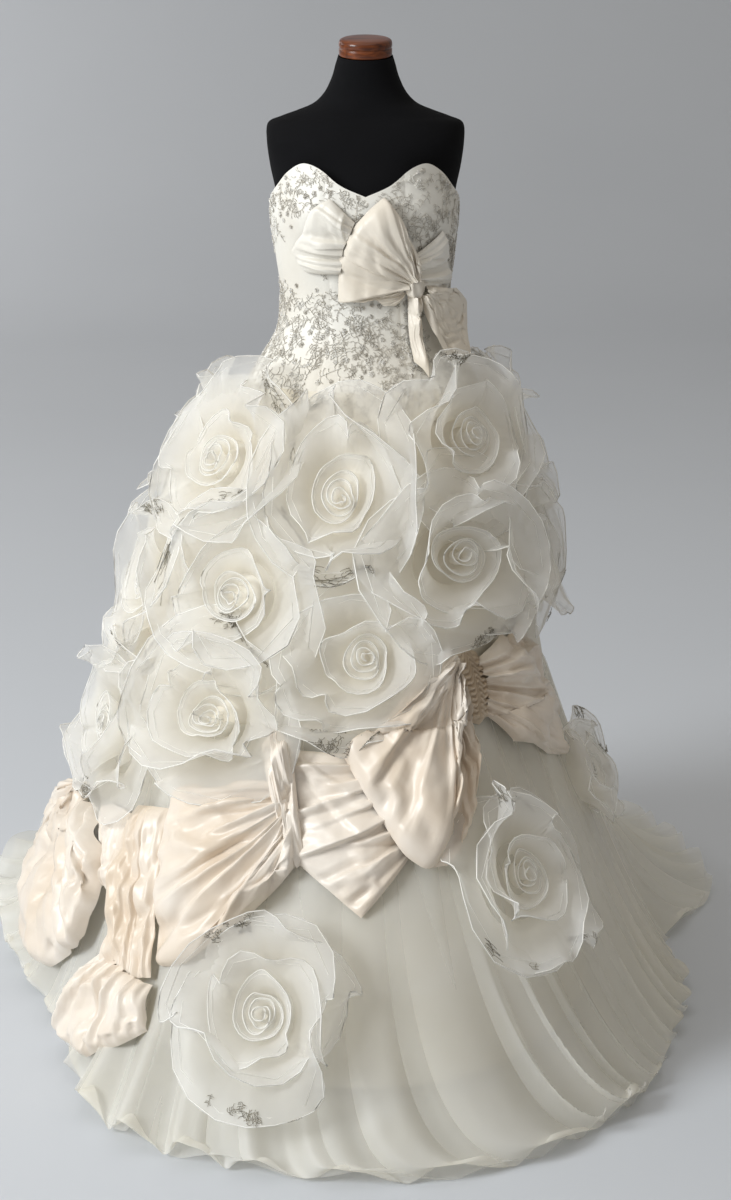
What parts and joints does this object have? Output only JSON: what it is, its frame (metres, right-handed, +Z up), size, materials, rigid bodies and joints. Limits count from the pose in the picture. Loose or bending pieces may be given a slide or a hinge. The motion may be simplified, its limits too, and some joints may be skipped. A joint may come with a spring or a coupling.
{
  "type": "wedding dress on a dress form",
  "caption": "Strapless ivory wedding dress with beaded sweetheart bodice, side bow, coiled organza roses, gathered taffeta swags and a train, on a black limbless dress form.",
  "frame": {"origin": "centre of the stand's underside, on the dress form's axis", "axes": "+Z up, the front of the dress faces -Y, the train runs towards +Y"},
  "size_m": [1.4805, 1.9145, 1.6876],
  "materials": {
    "black_cloth": "matte",
    "turned_wood": "gloss",
    "stand_metal": "satin",
    "bodice_satin": "beaded satin",
    "underskirt_satin": "satin",
    "organza": "sheer",
    "bow_satin": "satin",
    "taffeta": "satin",
    "rose_organza": "sheer"
  },
  "bodies": {
    "root": {"bodice_back_left": "bodice_satin", "bodice_back_right": "bodice_satin", "bodice_centre_front": "bodice_satin", "bodice_side_front_left": "bodice_satin", "bodice_side_front_right": "bodice_satin", "bodice_side_left": "bodice_satin", "bodice_side_right": "bodice_satin", "bow_corner_loop": "bow_satin", "bow_knot": "bow_satin", "bow_leaf_loop": "bow_satin", "bow_left_fan": "bow_satin", "bow_right_fan": "bow_satin", "bow_right_loop": "bow_satin", "bow_skirt_gather": "taffeta", "bow_skirt_loop": "taffeta", "bow_small_loop": "bow_satin", "bow_tail": "bow_satin", "form_base": "stand_metal", "form_neck_cap": "turned_wood", "form_pole": "stand_metal", "form_torso": "black_cloth", "front_panel": "taffeta", "lower_ruche": "taffeta", "overskirt_front": "organza", "overskirt_left": "organza", "overskirt_right": "organza", "overskirt_train": "organza", "rose_back_centre": "rose_organza", "rose_back_left": "rose_organza", "rose_back_right": "rose_organza", "rose_front_centre_lower": "rose_organza", "rose_front_centre_top": "rose_organza", "rose_front_left_lower": "rose_organza", "rose_front_left_top": "rose_organza", "rose_front_left_upper": "rose_organza", "rose_front_right_top": "rose_organza", "rose_front_right_upper": "rose_organza", "rose_left_lower": "rose_organza", "rose_left_side": "rose_organza", "rose_left_upper": "rose_organza", "rose_right_lower": "rose_organza", "rose_right_side": "rose_organza", "rose_right_upper": "rose_organza", "rose_skirt_left": "rose_organza", "rose_skirt_right": "rose_organza", "side_panel": "taffeta", "side_swag": "taffeta", "swag_centre_loop": "taffeta", "swag_left_loop": "taffeta", "swag_right_loop": "taffeta", "underskirt": "underskirt_satin"}
  },
  "joints": []
}
